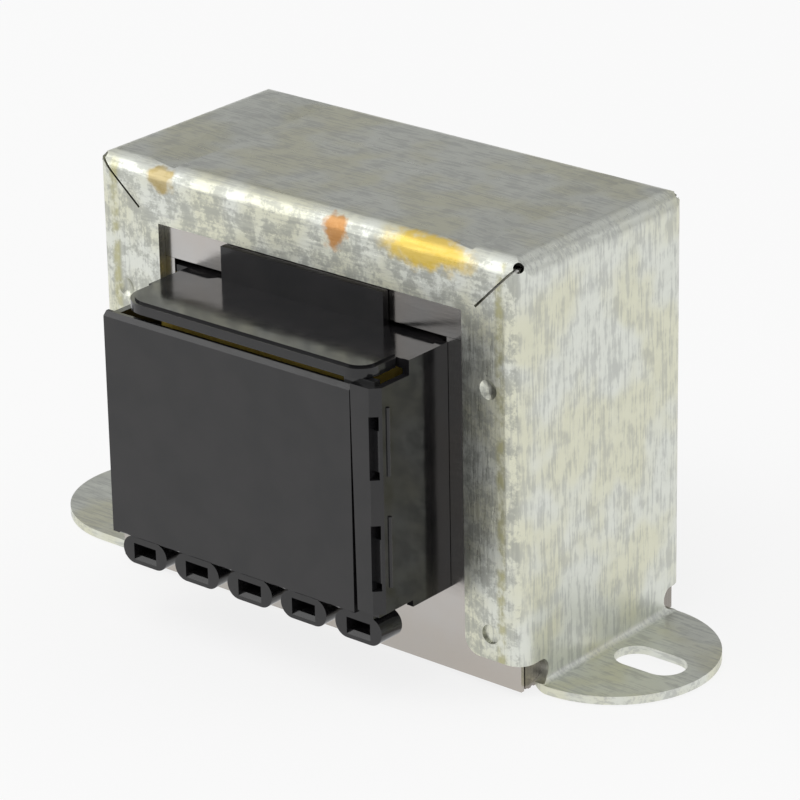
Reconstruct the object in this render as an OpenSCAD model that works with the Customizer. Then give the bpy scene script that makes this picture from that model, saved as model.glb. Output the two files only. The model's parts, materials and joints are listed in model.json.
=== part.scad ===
// Laminated chassis transformer in a folded steel channel frame.
// X runs along the two fixing feet, the coil covers face -Y and +Y, and Z = 0 is the mounting plane.
// The origin lies on that plane, midway between the two fixing slots.

/* [Core] */
// Width of one lamination, six times the width of its outer leg
core_w = 60; // [57:0.5:63]
// Thickness of the lamination stack from front to back
stack_d = 28; // [27:0.5:30]
// Number of sheets in the stack
sheet_count = 55; // [40:1:55]
// Height of the lowest sheets above the mounting plane
core_lift = 0.5; // [0.3:0.1:0.8]
// Height by which every second sheet sits above its neighbours
sheet_step = 0.14; // [0.04:0.02:0.2]
// Gap where the first sheet has sprung away from the stack
front_gap = 0.2; // [0.05:0.05:0.3]

/* [Channel frame] */
// Thickness of the steel strip
strip_t = 1; // [0.8:0.1:1.2]
// Outer radius of the bends, which are pressed square inside over the edges of the core
bend_r = 2.2; // [1.6:0.1:2.6]
// Width of the lip on the left leg of the core
lip_left = 9.6; // [8:0.1:10.4]
// Width of the lip on the right leg of the core
lip_right = 8.1; // [7.5:0.1:10.4]
// Height of the lip on the upper yoke
lip_top = 7; // [5.5:0.1:7.5]
// Height at which the side lips end above the mounting plane
lip_end = 3.9; // [3.5:0.1:5]
// Radius of the lower inner corner of each side lip
lip_corner_r = 2; // [1:0.1:3]
// Width of the open mitre between neighbouring lips
mitre_gap = 0.28; // [0.15:0.01:0.4]
// Depth of the two creases pressed across the top
crease_depth = 0.3; // [0.1:0.05:0.4]

/* [Feet] */
// Distance between the middles of the two fixing slots
slot_pitch = 74.2; // [72:0.1:76]
// Length of a fixing slot from end to end
slot_len = 9; // [7:0.1:10]
// Width of a fixing slot
slot_w = 5.2; // [4.2:0.1:5.6]
// Radius of the rounded end of each foot
foot_r = 12.3; // [11:0.1:13]
// Distance from the side panel to the middle of the left foot's round end
foot_reach_left = 4.8; // [3:0.1:6]
// Distance from the side panel to the middle of the right foot's round end
foot_reach_right = 0.8; // [0.8:0.1:3]
// Distance of the slots behind the middle of the core
slot_line = 0.4; // [0:0.1:1]

/* [Coil] */
// Depth of each coil cover in front of the core
overhang = 12.2; // [11.5:0.1:13]
// Wall thickness of the coil former and its covers
wall = 0.9; // [0.8:0.05:1]
// Thickness of the former's two flanges
flange_t = 1.1; // [1:0.1:1.2]
// Height of the insulating rib in front of each upper yoke
rib_h = 4.1; // [3:0.1:4.5]
// Thickness of the inner winding
primary_build = 3.6; // [3:0.1:3.6]
// Thickness of the outer winding
secondary_build = 3.3; // [2.5:0.1:3.3]

/* [Tag holders] */
// Distance between neighbouring holders
tag_pitch = 8; // [7.8:0.1:8.1]
// Outer width of a holder
holder_w = 6.7; // [6.2:0.1:7]
// Outer height of a holder
holder_h = 3.35; // [3.1:0.05:3.5]
// Length of a holder from front to back
holder_len = 3.5; // [3.2:0.1:4.5]
// Width of a solder tag
tag_w = 2.8; // [2.4:0.1:3]
// Thickness of a solder tag
tag_t = 0.5; // [0.4:0.05:0.6]

/* [Hidden] */
$fn = 64;
eps = 0.01;
clear = 0.05;                       // slip clearance between neighbouring pieces
far = 60;                           // reach of a cutter past the part

unit = core_w / 6;                  // width of an outer leg and of a yoke
core_h = 5 * unit;
half_w = core_w / 2 + strip_t;      // from the middle to the frame's outer side
half_d = stack_d / 2 + strip_t;     // from the middle to the frame's outer front
frame_h = core_lift + sheet_step + core_h + strip_t;
foot_bend = 0.8;                    // inner radius of the bend at each foot

sheet_gap = 0.015;
sheet_pitch = (stack_d - 2 * sheet_gap - front_gap) / sheet_count;
sheet_t = sheet_pitch - sheet_gap;
joint_gap = 0.04;                   // where the end of an E meets its I

dents = [[-26.8, 35.7], [26.5, 36.2], [-26.8, 7]];
flat_dent_at = [26.5, 7];
flat_dent_r = 1.15;
flat_dent_depth = 0.35;
crease_x = [-19.6, 23.6];           // sharp line of each crease on the top
crease_fall = 4.5;                  // long flank, on the left of the line
crease_rise = 0.35;                 // short flank, on its right

window_low = core_lift + sheet_step + unit;
window_high = core_lift + core_h - unit;
flange_low = window_low + 0.1;      // underside of the lower flange
flange_high = window_high - 0.7;    // upper face of the upper flange
deck_step = 0.25;                   // rise of the upper flange's raised deck
coil_left = 2 * unit - 0.2;
coil_right = 2 * unit + 0.15;
coil_front = stack_d / 2 + overhang;
cover_back = stack_d / 2 + clear;   // where the covers meet the core

bore_x = unit + 0.15;               // half size of the former's bore
bore_y = stack_d / 2 + 0.15;
tube_x = bore_x + wall;             // half size of its tube
tube_y = bore_y + wall;
tube_r = 0.4;
turn_gap = 0.05;                    // between one winding layer and the next
tape_t = 0.3;
wind_low = flange_low + flange_t + 0.25;
wind_high = flange_high - flange_t - 0.25;

holder_z = 8.6;                     // height of the holders' middle
holder_front = coil_front - 1.1;    // outer face of a row of holders
tag_z = holder_z - tag_t / 2;
lead_r = 0.35;
primary_lead_y = stack_d / 2 + 3.1;
secondary_lead_y = stack_d / 2 + 5.6;

// ---- shared profiles ----

// Rectangle about the origin with all four corners rounded
module rounded_rect(w, d, r) {
    square([w - 2 * r, d], center = true);
    square([w, d - 2 * r], center = true);
    for (x = [-1, 1], y = [-1, 1])
        translate([x * (w / 2 - r), y * (d / 2 - r)]) circle(r);
}

// Rectangle that stands on the x axis, with its two upper corners rounded
module arched_rect(w, h, r) {
    translate([-w / 2, 0]) square([w, h - r]);
    translate([r - w / 2, 0]) square([w - 2 * r, h]);
    for (x = [-1, 1]) translate([x * (w / 2 - r), h - r]) circle(r);
}

// Long hole or bar with round ends, along x
module obround(length, width) {
    square([length - width, width], center = true);
    for (x = [-1, 1]) translate([x * (length - width) / 2, 0]) circle(width / 2);
}

// Extrudes a profile drawn in x and z along y
module along_y(y0, y1) {
    translate([0, y1, 0]) rotate([90, 0, 0]) linear_extrude(y1 - y0) children();
}

// Extrudes a profile drawn in y and z along x
module along_x(x0, x1) {
    translate([x0, 0, 0]) rotate([90, 0, 90]) linear_extrude(x1 - x0) children();
}

// Box between two corners
module box(low, high) {
    translate(low) cube(high - low);
}

// Moves a piece of the core or coil to its place in front of the slots
module on_core() {
    translate([0, -slot_line, 0]) children();
}

// ---- channel frame ----

// Closed box with rounded upright and upper edges
module bent_block(w, d, h, r) {
    intersection() {
        linear_extrude(h) rounded_rect(w, d, r);
        along_y(-d, d) arched_rect(w, h, r);
        along_x(-w, w) arched_rect(d, h, r);
    }
}

// Side panels, top and all the lips before they are cut apart
module channel_shell() {
    difference() {
        bent_block(2 * half_w, 2 * half_d, frame_h, bend_r);
        box([-core_w / 2, -stack_d / 2, -eps], [core_w / 2, stack_d / 2, frame_h - strip_t]);
    }
}

// What is cut to round the lower inner corner of a side lip
module lip_corner(x, side) {
    translate([x, lip_end]) difference() {
        translate([side > 0 ? -eps : -lip_corner_r, -eps])
            square([lip_corner_r + eps, lip_corner_r + eps]);
        translate([side * lip_corner_r, lip_corner_r]) circle(lip_corner_r);
    }
}

// Opening between the lips of one face, cut towards -Y
module lip_window() {
    x0 = -half_w + lip_left;
    x1 = half_w - lip_right;
    along_y(-far, -stack_d / 2 + eps) {
        translate([x0, -far]) square([x1 - x0, far + frame_h - lip_top]);
        translate([-half_w, -far]) square([2 * half_w, far + lip_end]);
        lip_corner(x0, -1);
        lip_corner(x1, 1);
    }
}

// Slit that parts a side lip from the top lip, with a round relief at the corner
module mitre(side) {
    depth = stack_d / 2 - 0.2;
    lean = side > 0 ? 45 : 50;
    relief_r = 0.6;
    space_diagonal = 54.7;
    translate([side * half_w, 0, frame_h])
        rotate([0, side * lean, 0])
            box([-mitre_gap / 2, -far, -4 * bend_r], [mitre_gap / 2, -depth, far]);
    translate([side * (half_w - bend_r), bend_r - half_d, frame_h - bend_r])
        rotate([0, 0, side > 0 ? -45 : -135])
            rotate([0, space_diagonal, 0]) cylinder(h = 2 * bend_r, r = relief_r);
}

// Round dent pressed into a lip to hold the first sheet
module dent(x, z) {
    dent_r = 1.9;
    dent_depth = 0.4;
    translate([x, -half_d - dent_r + dent_depth, z]) sphere(dent_r);
}

// Flat-bottomed round dent in the lower right of each face
module flat_dent() {
    translate([flat_dent_at[0], -half_d - 1, flat_dent_at[1]])
        rotate([-90, 0, 0]) cylinder(h = 1 + flat_dent_depth, r = flat_dent_r);
}

// Everything cut from one face of the channel
module face_cuts() {
    lip_window();
    for (side = [-1, 1]) mitre(side);
    for (at = dents) dent(at[0], at[1]);
    flat_dent();
}

// Shallow asymmetric groove along one crease line
module crease(x) {
    along_y(-far, far)
        polygon([[x - crease_fall, frame_h + eps], [x - crease_fall, frame_h],
                 [x, frame_h - crease_depth], [x + crease_rise, frame_h],
                 [x + crease_rise, frame_h + eps]]);
}

// Section through one side panel's lower end, its bend and its foot
module foot_section(reach) {
    cx = half_w + foot_bend;
    cz = strip_t + foot_bend;
    translate([half_w - strip_t, cz]) square([strip_t, lip_end + 2 - cz]);
    intersection() {
        difference() {
            translate([cx, cz]) circle(foot_bend + strip_t);
            translate([cx, cz]) circle(foot_bend);
        }
        translate([half_w - strip_t, 0]) square([foot_bend + strip_t, cz]);
    }
    translate([cx, 0]) square([reach + foot_r - foot_bend, strip_t]);
}

// One foot on the +X side, with its slot and the round reliefs beside its bend
module foot(reach) {
    relief_r = 1.45;
    difference() {
        intersection() {
            along_y(-foot_r, foot_r) foot_section(reach);
            linear_extrude(far) {
                translate([0, -foot_r]) square([half_w + reach, 2 * foot_r]);
                translate([half_w + reach, 0]) circle(foot_r);
            }
        }
        translate([slot_pitch / 2, 0, -1]) linear_extrude(strip_t + 2) obround(slot_len, slot_w);
        for (side = [-1, 1])
            translate([0, side * (foot_r - 0.1), strip_t + relief_r + 0.1])
                rotate([0, 90, 0]) cylinder(h = half_w + 3, r = relief_r);
    }
}

module channel_frame() {
    color("lightgray") {
        on_core() {
            difference() {
                channel_shell();
                face_cuts();
                mirror([0, 1, 0]) face_cuts();
                for (x = crease_x) crease(x);
                box([-far, -far, -1], [far, far, lip_end + 1]);
            }
            lip_stubs();
        }
        foot(foot_reach_right);
        mirror([1, 0, 0]) foot(foot_reach_left);
    }
}

// Lowest part of the channel's upright bends and lips, beside the feet
module lip_stubs() {
    difference() {
        channel_shell();
        face_cuts();
        mirror([0, 1, 0]) face_cuts();
        box([-far, -far, lip_end + 1], [far, far, far]);
        box([-far, -far, -1], [far, far, lip_end]);
    }
}

// ---- core ----

// Outline of an E with its yoke at the bottom
module e_outline() {
    leg = 4 * unit - joint_gap;
    difference() {
        translate([-3 * unit, 0]) square([6 * unit, leg]);
        for (x = [-2, 1]) translate([x * unit, unit]) square([unit, leg]);
    }
}

// Places sheet i of the stack, every second one upside down
module stacked(i) {
    y = -stack_d / 2 + sheet_gap + i * sheet_pitch + (i > 0 ? front_gap : 0);
    z = core_lift + (i % 2) * (sheet_step + core_h);
    translate([0, 0, z]) mirror([0, 0, i % 2]) along_y(y, y + sheet_t) children();
}

module e_laminations() {
    color("dimgray") on_core() for (i = [0:sheet_count - 1]) stacked(i) e_outline();
}

module i_laminations() {
    color("gray") on_core() for (i = [0:sheet_count - 1]) stacked(i)
        translate([-3 * unit, 4 * unit]) square([6 * unit, unit]);
}

// ---- coil former ----

// Outline of the raised deck in front of the core
module deck_outline(inset) {
    x0 = -coil_left + 2.2 + inset;
    x1 = coil_right - 1.7 - inset;
    y0 = -coil_front + 0.1 + inset;
    left_r = 3.5 - inset;
    right_r = 2.6 - inset;
    shoulder = y0 + 5.3;
    waist = 12.4 - inset;
    polygon([[-waist, -stack_d / 2 - 0.1], [x0, shoulder], [x0, y0 + left_r], [x0 + left_r, y0],
             [x1 - right_r, y0], [x1, y0 + right_r], [x1, shoulder], [waist, -stack_d / 2 - 0.1]]);
    translate([x0 + left_r, y0 + left_r]) circle(left_r);
    translate([x1 - right_r, y0 + right_r]) circle(right_r);
}

// Upper flange of one end, from the middle of the core outwards
module upper_flange_end() {
    low = flange_high - flange_t;
    tail_x1 = coil_right - wall - clear;
    translate([0, 0, low]) linear_extrude(flange_t) {
        translate([-coil_left + 0.1, -stack_d / 2]) square([coil_left + tail_x1 - 0.1, stack_d / 2]);
        translate([-coil_left + 1.8, -stack_d / 2 - 6.5]) square([coil_left + tail_x1 - 1.8, 6.5]);
        deck_outline(0);
    }
    translate([0, 0, low]) linear_extrude(flange_t + deck_step) deck_outline(0.5);
    rib_x = 11.9;
    box([-rib_x, -stack_d / 2 - 0.1 - wall, low],
        [rib_x, -stack_d / 2 - 0.1, flange_high + deck_step + rib_h - 0.1]);
}

// Lower flange of one end
module lower_flange_end() {
    x0 = -coil_left + wall + clear;
    x1 = coil_right - wall - clear;
    box([x0, -coil_front + wall + clear, flange_low], [x1, 0, flange_low + flange_t]);
}

// One holder below the lower flange: an oval tube on a short web
module tag_holder(x) {
    web_w = 4.4;
    translate([x, 0, holder_z]) along_y(-holder_front, holder_len - holder_front)
        obround(holder_w, holder_h);
    box([x - web_w / 2, -holder_front, holder_z], [x + web_w / 2, holder_len - holder_front, flange_low + eps]);
}

// Pocket with a bevelled lower lip, and the narrow slot that grips a tag behind it
module tag_pocket(x) {
    pocket_w = 3.4;
    pocket_top = 0.85;
    pocket_floor = -0.75;
    bevel = 0.45;
    pocket_len = 2.3;
    translate([x, -holder_front, holder_z]) {
        along_x(-pocket_w / 2, pocket_w / 2)
            polygon([[-eps, pocket_floor - bevel], [bevel, pocket_floor], [pocket_len, pocket_floor],
                     [pocket_len, pocket_top], [-eps, pocket_top]]);
        along_y(0, far / 10)
            square([tag_w + 2 * clear, tag_t + 2 * clear], center = true);
    }
}

// Slot in the lower flange for a winding end on its way to a tag
module lead_slot(x) {
    slot_half = 0.7;
    box([x - slot_half, -secondary_lead_y - slot_half, flange_low - 1],
        [x + slot_half, -primary_lead_y + slot_half, flange_low + flange_t + 1]);
}

module former_end() {
    upper_flange_end();
    difference() {
        union() {
            lower_flange_end();
            for (n = [-2:2]) tag_holder(n * tag_pitch);
        }
        for (n = [-2:2]) {
            tag_pocket(n * tag_pitch);
            lead_slot(n * tag_pitch);
        }
    }
}

module coil_former() {
    color([0.1, 0.1, 0.1]) on_core() difference() {
        union() {
            for (turn = [0, 180]) rotate([0, 0, turn]) former_end();
            translate([0, 0, flange_low]) linear_extrude(flange_high - flange_low)
                rounded_rect(2 * tube_x, 2 * tube_y, tube_r);
        }
        box([-bore_x, -bore_y, -far], [bore_x, bore_y, flange_high + eps]);
        box([-bore_x, -bore_y, 0], [bore_x, bore_y, far]);
    }
}

// ---- windings ----

// Ring round the former between two distances from its tube
module coil_layer(inner, outer, low, high) {
    translate([0, 0, low]) linear_extrude(high - low) difference() {
        rounded_rect(2 * (tube_x + outer), 2 * (tube_y + outer), outer + tube_r);
        rounded_rect(2 * (tube_x + inner), 2 * (tube_y + inner), inner + tube_r);
    }
}

// Winding end that drops from the coil to the face of a tag
module lead(x, y) {
    translate([x, y, holder_z + tag_t / 2])
        cylinder(h = wind_low - holder_z - tag_t / 2 + 0.5, r = lead_r);
}

primary_in = turn_gap;
primary_out = primary_in + primary_build;
barrier_out = primary_out + turn_gap + tape_t;
secondary_in = barrier_out + turn_gap;
secondary_out = secondary_in + secondary_build;

module primary_winding() {
    color("peru") on_core() {
        coil_layer(primary_in, primary_out, wind_low, wind_high);
        for (n = [-1, 1]) lead(n * tag_pitch, primary_lead_y);
    }
}

module interwinding_insulation() {
    color("khaki") on_core() coil_layer(primary_out + turn_gap, barrier_out, wind_low, wind_high);
}

module secondary_winding() {
    color("chocolate") on_core() {
        coil_layer(secondary_in, secondary_out, wind_low, wind_high);
        for (n = [-2, 0, 2]) lead(n * tag_pitch, secondary_lead_y);
    }
}

module outer_tape() {
    color("gold") on_core()
        coil_layer(secondary_out + turn_gap, secondary_out + turn_gap + tape_t, wind_low, wind_high);
}

// ---- coil covers ----

front_low = flange_low + 0.1;
front_high = flange_high - 2;
seam_x = coil_right - 3.7;          // line where the front panel meets the folded corner
corner_bevel = 1;

// Front panel, with a bevelled upper edge that catches the light
module cover_panel() {
    edge = 0.5;
    foot_edge = 0.15;
    along_x(-coil_left, seam_x)
        polygon([[-coil_front, front_low + foot_edge], [foot_edge - coil_front, front_low],
                 [wall - coil_front, front_low], [wall - coil_front, front_high],
                 [edge - coil_front, front_high], [-coil_front, front_high - edge]]);
}

// Folded corner, right side wall and the flap behind the seam
module cover_corner() {
    low = front_low + 0.6;
    high = front_high + 0.35;
    step_y = -stack_d / 2 - 6.6;
    inner_x = coil_right - wall;
    inner_y = wall - coil_front;
    translate([0, 0, low]) linear_extrude(high - low)
        polygon([[seam_x, -coil_front], [coil_right - corner_bevel, -coil_front],
                 [coil_right, corner_bevel - coil_front], [coil_right, step_y + 1],
                 [inner_x, step_y + 1], [inner_x, inner_y], [seam_x, inner_y]]);
    box([seam_x - 1.5, inner_y - eps, flange_low + flange_t + clear],
        [inner_x + eps, inner_y + wall, flange_high - flange_t - clear]);
    box([inner_x, step_y, flange_low - 0.1], [coil_right, -cover_back, flange_high + 0.1]);
}

// Wedge-shaped opening of the seam, closed at the top and wider towards the bottom
module seam() {
    along_y(-coil_front - 1, wall - coil_front - 0.05)
        polygon([[seam_x - 0.03, front_high + 1], [seam_x + 0.06, front_high + 1],
                 [seam_x + 0.5, front_low - 1], [seam_x - 0.03, front_low - 1]]);
}

// Recess where the corner was folded, with a deeper slit at each end
module fold_window(z0, z1) {
    x0 = coil_right - 1.1;
    box([x0, -coil_front - 1, z0], [far, 0.75 - coil_front, z1]);
    for (z = [[z0, z0 + 0.9], [z1 - 1.7, z1]])
        box([x0, -coil_front - 1, z[0]], [coil_right - 0.3, 1.8 - coil_front, z[1]]);
}

// Bead along the rear edge of a recess
module fold_bead(z0, z1) {
    translate([coil_right, 1.9 - coil_front, z0]) cylinder(h = z1 - z0, r = 0.25);
}

// One complete cover, facing -Y
module coil_cover() {
    windows = [[front_low + 3.4, front_low + 11.2], [front_low + 16.6, front_low + 24]];
    difference() {
        union() {
            cover_panel();
            cover_corner();
            box([-coil_left, -coil_front, front_low], [wall - coil_left, -cover_back, front_high - 0.5]);
        }
        seam();
        for (w = windows) fold_window(w[0], w[1]);
    }
    for (w = windows) fold_bead(w[0] + 0.2, w[1] + 0.8);
}

module front_cover() {
    color([0.15, 0.15, 0.15]) on_core() coil_cover();
}

module rear_cover() {
    color([0.15, 0.15, 0.15]) on_core() rotate([0, 0, 180]) coil_cover();
}

// ---- solder tags ----

// Flat tag through the rear holder n, with an eye for the wire at its outer end
module solder_tag(n) {
    inner = stack_d / 2 + 2.2;
    outer = holder_front + 6;
    middle = (inner + outer) / 2;
    color("silver") on_core() translate([n * tag_pitch, 0, tag_z]) linear_extrude(tag_t) difference() {
        translate([0, middle]) rotate(90) obround(outer - inner, tag_w);
        translate([0, outer - tag_w / 2 - 0.2]) circle(0.75);
    }
}

module solder_tag_1() solder_tag(-2);
module solder_tag_2() solder_tag(-1);
module solder_tag_3() solder_tag(0);
module solder_tag_4() solder_tag(1);
module solder_tag_5() solder_tag(2);

channel_frame();
e_laminations();
i_laminations();
coil_former();
primary_winding();
interwinding_insulation();
secondary_winding();
outer_tape();
front_cover();
rear_cover();
solder_tag_1();
solder_tag_2();
solder_tag_3();
solder_tag_4();
solder_tag_5();
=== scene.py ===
"""Looks of the laminated chassis transformer: finishes, studio and camera."""
import json
import math

import bmesh
import bpy
from mathutils import Matrix, Vector


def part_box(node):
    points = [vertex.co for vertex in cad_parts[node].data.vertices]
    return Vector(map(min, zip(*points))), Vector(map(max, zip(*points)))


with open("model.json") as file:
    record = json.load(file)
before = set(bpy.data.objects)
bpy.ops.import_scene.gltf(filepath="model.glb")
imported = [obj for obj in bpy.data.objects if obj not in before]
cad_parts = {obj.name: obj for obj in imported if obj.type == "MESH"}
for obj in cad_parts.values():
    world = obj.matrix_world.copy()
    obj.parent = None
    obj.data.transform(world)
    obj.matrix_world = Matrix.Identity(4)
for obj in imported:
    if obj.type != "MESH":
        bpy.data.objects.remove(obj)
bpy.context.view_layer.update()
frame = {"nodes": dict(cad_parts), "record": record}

MM = 0.001
STRIP_THICKNESS = 1.0          # of the frame around the core, mm
WIRE_PITCH = 0.5               # between neighbouring turns, mm


# ---- node graphs ----

class Paint:
    """A material whose pattern is placed in the part's own frame, in millimetres."""

    def __init__(self, name):
        self.material = bpy.data.materials.new(name)
        self.material.use_nodes = True
        self.tree = self.material.node_tree
        self.shader = self.tree.nodes["Principled BSDF"]
        coordinates = self.tree.nodes.new("ShaderNodeTexCoord")
        self.at = self.vector("SCALE", coordinates.outputs["Object"], scale=1 / MM)
        split = self.node("ShaderNodeSeparateXYZ", {0: self.at})
        self.x, self.y, self.z = split.outputs

    def node(self, kind, inputs=None, **settings):
        made = self.tree.nodes.new(kind)
        for key, value in settings.items():
            setattr(made, key, value)
        for key, value in (inputs or {}).items():
            self.feed(made.inputs[key], value)
        return made

    def feed(self, socket, value):
        if isinstance(value, bpy.types.NodeSocket):
            self.tree.links.new(value, socket)
        else:
            socket.default_value = value

    def set(self, **inputs):
        """Sets the shader's sockets, named in lower case with underscores."""
        names = {name.lower().replace(" ", "_"): name for name in self.shader.inputs.keys()}
        for key, value in inputs.items():
            self.feed(self.shader.inputs[names[key]], value)

    def math(self, operation, a, b=0.0, c=0.0):
        inputs = {0: a, 1: b, 2: c}
        return self.node("ShaderNodeMath", inputs, operation=operation).outputs[0]

    def vector(self, operation, a, b=(0, 0, 0), scale=1.0):
        made = self.node("ShaderNodeVectorMath", operation=operation)
        self.feed(made.inputs[0], a)
        if operation == "SCALE":
            self.feed(made.inputs["Scale"], scale)
        else:
            self.feed(made.inputs[1], b)
        return made.outputs[1 if operation == "LENGTH" else 0]

    def stretch(self, sx, sy, sz):
        return self.vector("MULTIPLY", self.at, (sx, sy, sz))

    def noise(self, vector, scale=1.0, detail=3.0, roughness=0.55):
        inputs = {"Vector": vector, "Scale": scale, "Detail": detail, "Roughness": roughness}
        return self.node("ShaderNodeTexNoise", inputs).outputs[0]

    def step(self, value, low, high, to_low=0.0, to_high=1.0):
        """Smooth step from to_low at low to to_high at high."""
        inputs = {"Value": value, "From Min": low, "From Max": high,
                  "To Min": to_low, "To Max": to_high}
        return self.node("ShaderNodeMapRange", inputs, interpolation_type="SMOOTHSTEP").outputs[0]

    def mix(self, amount, a, b):
        made = self.node("ShaderNodeMix", data_type="RGBA")
        self.feed(made.inputs[0], amount)
        for key, value in ((6, a), (7, b)):
            if not isinstance(value, bpy.types.NodeSocket) and len(value) == 3:
                value = (*value, 1.0)
            self.feed(made.inputs[key], value)
        return made.outputs[2]

    def blend(self, amount, a, b):
        """Mix of two numbers."""
        made = self.node("ShaderNodeMix", data_type="FLOAT")
        for key, value in ((0, amount), (2, a), (3, b)):
            self.feed(made.inputs[key], value)
        return made.outputs[0]

    def spot(self, centre, radii, soft, place):
        """1 inside an ellipsoid, fading over the outer share soft; place is the warped position."""
        away = self.vector("SUBTRACT", place, centre)
        away = self.vector("DIVIDE", away, radii)
        return self.step(self.vector("LENGTH", away), 1 + soft / 2, 1 - soft / 2)

    def warped(self, amount, scale):
        """The place in the frame, shifted by up to about amount in each direction."""
        inputs = {"Vector": self.at, "Scale": scale, "Detail": 3.0}
        shift = self.node("ShaderNodeTexNoise", inputs).outputs[1]
        shift = self.vector("SUBTRACT", shift, (0.5, 0.5, 0.5))
        return self.vector("ADD", self.at, self.vector("SCALE", shift, scale=4 * amount))

    def largest(self, *values):
        top = values[0]
        for value in values[1:]:
            top = self.math("MAXIMUM", top, value)
        return top

    def bump(self, height, distance_mm):
        inputs = {"Height": height, "Distance": distance_mm * MM, "Strength": 1.0}
        self.set(normal=self.node("ShaderNodeBump", inputs).outputs[0])


def grey(level):
    return (level, level, level, 1.0)


# ---- finishes ----

def frame_box(name):
    low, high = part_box(name)
    return low / MM, high / MM


def zinc_plate():
    """Passivated zinc on rolled strip: streaks along the strip, cream mottling, varnish stains."""
    top = frame_box("channel_frame")[1].z
    core_low, core_high = frame_box("e_laminations")
    side = core_high.x + STRIP_THICKNESS
    front = core_low.y - STRIP_THICKNESS
    p = Paint("zinc_plate")
    out_x = p.math("ABSOLUTE", p.x)
    from_side = p.math("SUBTRACT", side, out_x)
    from_top = p.math("SUBTRACT", top, p.z)
    on_top = p.step(p.math("SUBTRACT", from_side, from_top), -0.3, 0.3)
    on_foot = p.step(out_x, side + 0.6, side + 1.2)
    along_x = p.largest(on_top, on_foot)
    is_side = p.step(out_x, side - 0.9, side - 0.2)
    is_front = p.step(p.y, front + 0.9, front + 0.3)

    upright = p.noise(p.stretch(2.4, 2.4, 0.22), 1.0, 4.0, 0.65)
    level = p.noise(p.stretch(0.22, 2.4, 2.4), 1.0, 4.0, 0.65)
    grain = p.blend(along_x, upright, level)
    blotch = p.noise(p.at, 0.45, 3.0, 0.6)
    patch = p.noise(p.at, 0.12, 2.0, 0.5)
    crystal = p.noise(p.at, 2.6, 4.0, 0.7)

    colour = p.mix(p.step(patch, 0.4, 0.62), (0.74, 0.76, 0.70), (0.72, 0.72, 0.58))
    worn = p.step(p.math("ADD", grain, p.math("MULTIPLY", blotch, 0.55)), 0.72, 0.9)
    colour = p.mix(p.math("MULTIPLY", worn, 0.45), colour, (0.40, 0.41, 0.40))
    mottle = p.step(p.math("ADD", p.math("MULTIPLY", crystal, 0.6), blotch), 0.72, 0.9)
    mottle = p.math("MULTIPLY", mottle, p.math("MULTIPLY", is_front, 0.6))
    colour = p.mix(mottle, colour, (0.36, 0.37, 0.33))

    edge_of_lip = p.step(p.math("ABSOLUTE", p.math("SUBTRACT", from_side, 2.9)), 0.9, 0.2)
    yellow = p.math("MULTIPLY", edge_of_lip, is_front)
    yellow = p.math("MULTIPLY", yellow, p.step(blotch, 0.35, 0.65))
    colour = p.mix(p.math("MULTIPLY", yellow, 0.6), colour, (0.50, 0.47, 0.20))

    bent = p.warped(0.8, 0.6)
    patch_left = p.spot((-20.8, front, top - 1.2), (2.0, 1.2, 2.0), 0.6, bent)
    patch_mid = p.spot((5.2, front, top - 1.6), (1.7, 1.4, 2.4), 0.5, bent)
    patch_right = p.spot((18.0, front, top - 1.2), (6.0, 1.8, 2.2), 0.6, bent)
    colour = p.mix(p.math("MULTIPLY", patch_left, 0.75), colour, (0.42, 0.30, 0.07))
    colour = p.mix(p.math("MULTIPLY", patch_mid, 0.85), colour, (0.55, 0.24, 0.05))
    colour = p.mix(p.math("MULTIPLY", patch_right, 0.85), colour, (0.75, 0.52, 0.05))

    rough = p.step(grain, 0.25, 0.75, 0.26, 0.42)
    rough = p.blend(is_side, rough, p.step(blotch, 0.3, 0.7, 0.36, 0.48))
    p.set(base_color=colour, metallic=1.0, roughness=rough)
    p.bump(p.math("ADD", grain, p.math("MULTIPLY", crystal, 0.5)), 0.02)
    return p.material


def core_steel():
    """Varnished electrical steel, bright on the front sheet and darker inside the stack."""
    front = frame_box("e_laminations")[0].y
    p = Paint("core_steel")
    rolled = p.noise(p.stretch(0.25, 1.0, 2.5), 1.0, 4.0, 0.6)
    cloud = p.noise(p.at, 0.12, 2.0, 0.5)
    inside = p.step(p.y, front + 0.3, front + 0.6)
    colour = p.mix(p.step(cloud, 0.35, 0.65), (0.50, 0.49, 0.48), (0.50, 0.47, 0.44))
    # Painted shade: the core is darker and browner towards the bottom, where it lies under the
    # coil's tag holders.
    colour = p.mix(p.math("MULTIPLY", p.step(p.z, 9.0, 1.0), 0.5), colour, (0.46, 0.42, 0.37))
    colour = p.mix(p.math("MULTIPLY", inside, 0.6), colour, (0.20, 0.18, 0.16))
    p.set(base_color=colour, metallic=1.0, roughness=p.step(rolled, 0.3, 0.7, 0.16, 0.24))
    p.bump(rolled, 0.006)
    return p.material


def black_moulding():
    """Glossy black moulding with slow flow marks and fine scuffs."""
    p = Paint("black_moulding")
    flow = p.noise(p.at, 0.25, 2.0, 0.5)
    fine = p.noise(p.at, 3.0, 3.0, 0.6)
    scuff = p.noise(p.stretch(0.6, 0.6, 6.0), 1.0, 4.0, 0.7)
    colour = p.mix(p.step(flow, 0.3, 0.7), (0.010, 0.010, 0.011), (0.016, 0.015, 0.016))
    rough = p.step(p.math("ADD", scuff, p.math("MULTIPLY", flow, 0.5)), 0.6, 0.95, 0.10, 0.17)
    p.set(base_color=colour, roughness=rough, ior=1.5)
    p.bump(p.math("ADD", flow, p.math("MULTIPLY", fine, 0.06)), 0.03)
    return p.material


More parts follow.
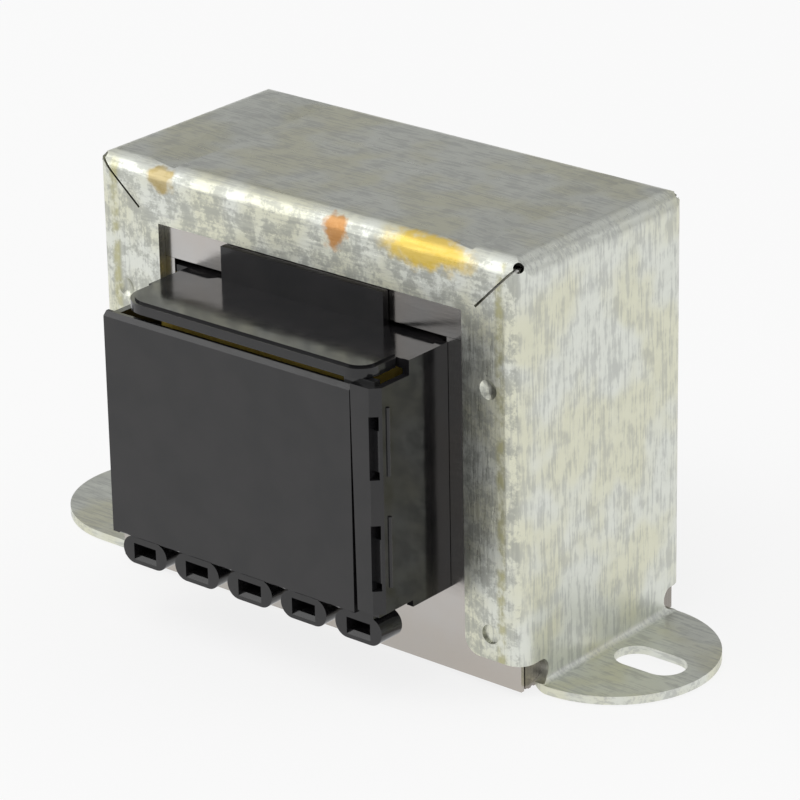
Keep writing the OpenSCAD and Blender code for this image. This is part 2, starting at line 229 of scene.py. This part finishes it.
def copper_wire():
    """Enamelled copper wire, laid in level turns."""
    p = Paint("copper_wire")
    turn = p.math("SINE", p.math("MULTIPLY", p.z, 2 * math.pi / WIRE_PITCH))
    tint = p.noise(p.at, 0.3)
    colour = p.mix(tint, (0.45, 0.16, 0.05), (0.60, 0.24, 0.08))
    p.set(base_color=colour, metallic=0.9, roughness=0.25, coat_weight=0.6)
    p.bump(turn, 0.08)
    return p.material


def tape_film():
    """Yellow polyester film with wrinkles."""
    p = Paint("tape_film")
    crease = p.noise(p.stretch(0.8, 0.8, 0.1), 1.0, 3.0, 0.6)
    colour = p.mix(crease, (0.72, 0.50, 0.08), (0.85, 0.66, 0.16))
    p.set(base_color=colour, roughness=0.22, coat_weight=0.3)
    p.bump(crease, 0.1)
    return p.material


def tinned_tag():
    """Tinned solder tag with dull patches."""
    p = Paint("tinned_tag")
    dull = p.noise(p.at, 1.2, 4.0, 0.6)
    colour = p.mix(dull, (0.62, 0.61, 0.58), (0.78, 0.77, 0.74))
    p.set(base_color=colour, metallic=1.0, roughness=p.step(dull, 0.3, 0.7, 0.2, 0.4))
    p.bump(dull, 0.02)
    return p.material


FINISH_OF_SLOT = {
    "zinc_steel": zinc_plate,
    "core_steel": core_steel,
    "black_moulding": black_moulding,
    "copper_wire": copper_wire,
    "film": tape_film,
    "tinned_brass": tinned_tag,
}


def dress_cad_nodes():
    """Gives each CAD node the finish of its material slot."""
    finishes = {slot: make() for slot, make in FINISH_OF_SLOT.items()}
    for part in frame["record"]["subparts"]:
        node = frame["nodes"][part["node"]]
        node.data.materials.clear()
        node.data.materials.append(finishes[part["material_slot"]])


# ---- studio ----

CAMERA_AZIMUTH = 40.139
CAMERA_ELEVATION = 22.6
CAMERA_ROLL = -1.067
CAMERA_DISTANCE = 0.48445
CAMERA_TARGET = Vector((0.0, 0.0013, 0.02279))
CAMERA_LENS = 188.8
CAMERA_CLIP = 0.01

FLOOR_RADIUS = 3.0
FLOOR_DROP = 0.0002            # below the part's feet, so that the two never share a plane
FLOOR_GREY = 0.85
FLOOR_GLOW_SHARE = 0.82        # of the floor's brightness to the camera that ignores shadows


def make_camera():
    azimuth, elevation = math.radians(CAMERA_AZIMUTH), math.radians(CAMERA_ELEVATION)
    back = Vector((math.sin(azimuth) * math.cos(elevation),
                   -math.cos(azimuth) * math.cos(elevation), math.sin(elevation)))
    camera = bpy.data.objects.new("camera", bpy.data.cameras.new("camera"))
    camera.data.lens = CAMERA_LENS
    camera.data.clip_start = CAMERA_CLIP
    camera.rotation_mode = "QUATERNION"
    turn = Matrix.Rotation(math.radians(CAMERA_ROLL), 4, back)
    level = (-back).to_track_quat("-Z", "Y").to_matrix().to_4x4()
    camera.rotation_quaternion = (turn @ level).to_quaternion()
    camera.location = CAMERA_TARGET + back * CAMERA_DISTANCE
    bpy.context.scene.collection.objects.link(camera)
    bpy.context.scene.camera = camera


def make_floor():
    """Round pale floor. What the camera and glossy surfaces see of it is nearly white."""
    mesh = bpy.data.meshes.new("floor")
    shape = bmesh.new()
    bmesh.ops.create_circle(shape, cap_ends=True, segments=64, radius=FLOOR_RADIUS)
    shape.to_mesh(mesh)
    floor = bpy.data.objects.new("floor", mesh)
    floor.location.z = -FLOOR_DROP
    bpy.context.scene.collection.objects.link(floor)
    material = bpy.data.materials.new("floor")
    material.use_nodes = True
    tree = material.node_tree
    tree.nodes.clear()
    output = tree.nodes.new("ShaderNodeOutputMaterial")
    rays = tree.nodes.new("ShaderNodeLightPath")
    seen = tree.nodes.new("ShaderNodeMath")
    seen.operation = "MAXIMUM"
    also = tree.nodes.new("ShaderNodeMath")
    also.operation = "MAXIMUM"
    paper = tree.nodes.new("ShaderNodeBsdfDiffuse")
    paper.inputs[0].default_value = grey(FLOOR_GREY)
    glow = tree.nodes.new("ShaderNodeEmission")
    glow.inputs["Color"].default_value = grey(1.0)
    faint = tree.nodes.new("ShaderNodeMixShader")
    faint.inputs[0].default_value = FLOOR_GLOW_SHARE
    chosen = tree.nodes.new("ShaderNodeMixShader")
    link = tree.links.new
    link(rays.outputs["Is Camera Ray"], seen.inputs[0])
    link(rays.outputs["Is Glossy Ray"], also.inputs[0])
    link(rays.outputs["Is Transmission Ray"], also.inputs[1])
    link(also.outputs[0], seen.inputs[1])
    link(paper.outputs[0], faint.inputs[1])
    link(glow.outputs[0], faint.inputs[2])
    link(seen.outputs[0], chosen.inputs[0])
    link(paper.outputs[0], chosen.inputs[1])
    link(faint.outputs[0], chosen.inputs[2])
    link(chosen.outputs[0], output.inputs[0])
    mesh.materials.append(material)


# Brightness of the studio's walls and ceiling by the sine of the elevation
WALL_LEVELS = [(0.0, 0.50), (0.40, 0.46), (0.47, 0.16), (0.58, 0.18), (0.70, 0.80), (1.0, 0.80)]


def make_world():
    world = bpy.data.worlds.new("studio")
    bpy.context.scene.world = world
    world.use_nodes = True
    tree = world.node_tree
    coordinates = tree.nodes.new("ShaderNodeTexCoord")
    split = tree.nodes.new("ShaderNodeSeparateXYZ")
    ramp = tree.nodes.new("ShaderNodeValToRGB")
    stops = ramp.color_ramp.elements
    stops.remove(stops[1])
    for index, (place, level) in enumerate(WALL_LEVELS):
        stop = stops[0] if index == 0 else stops.new(place)
        stop.position = place
        stop.color = grey(level)
    tree.links.new(coordinates.outputs["Generated"], split.inputs[0])
    tree.links.new(split.outputs["Z"], ramp.inputs[0])
    tree.links.new(ramp.outputs[0], tree.nodes["Background"].inputs[0])
    tree.nodes["Background"].inputs[1].default_value = 1.0


def soft_box(name, place, size, brightness):
    """Square area light that faces the part. brightness is its radiance, where 1 is white."""
    light = bpy.data.lights.new(name, "AREA")
    light.shape = "SQUARE"
    light.size = size
    light.energy = brightness * math.pi * size * size
    lamp = bpy.data.objects.new(name, light)
    lamp.location = place
    lamp.rotation_mode = "QUATERNION"
    lamp.rotation_quaternion = (CAMERA_TARGET - lamp.location).to_track_quat("-Z", "Y")
    bpy.context.scene.collection.objects.link(lamp)


def make_studio():
    bpy.context.scene.view_settings.view_transform = "Standard"
    make_world()
    make_floor()
    soft_box("front_left_box", Vector((-0.75, -0.65, 0.50)), 0.8, 1.5)
    soft_box("top_box", Vector((-0.10, -0.30, 0.95)), 0.7, 1.2)
    soft_box("right_box", Vector((0.80, 0.55, 0.65)), 0.6, 0.9)


make_camera()
make_studio()
dress_cad_nodes()
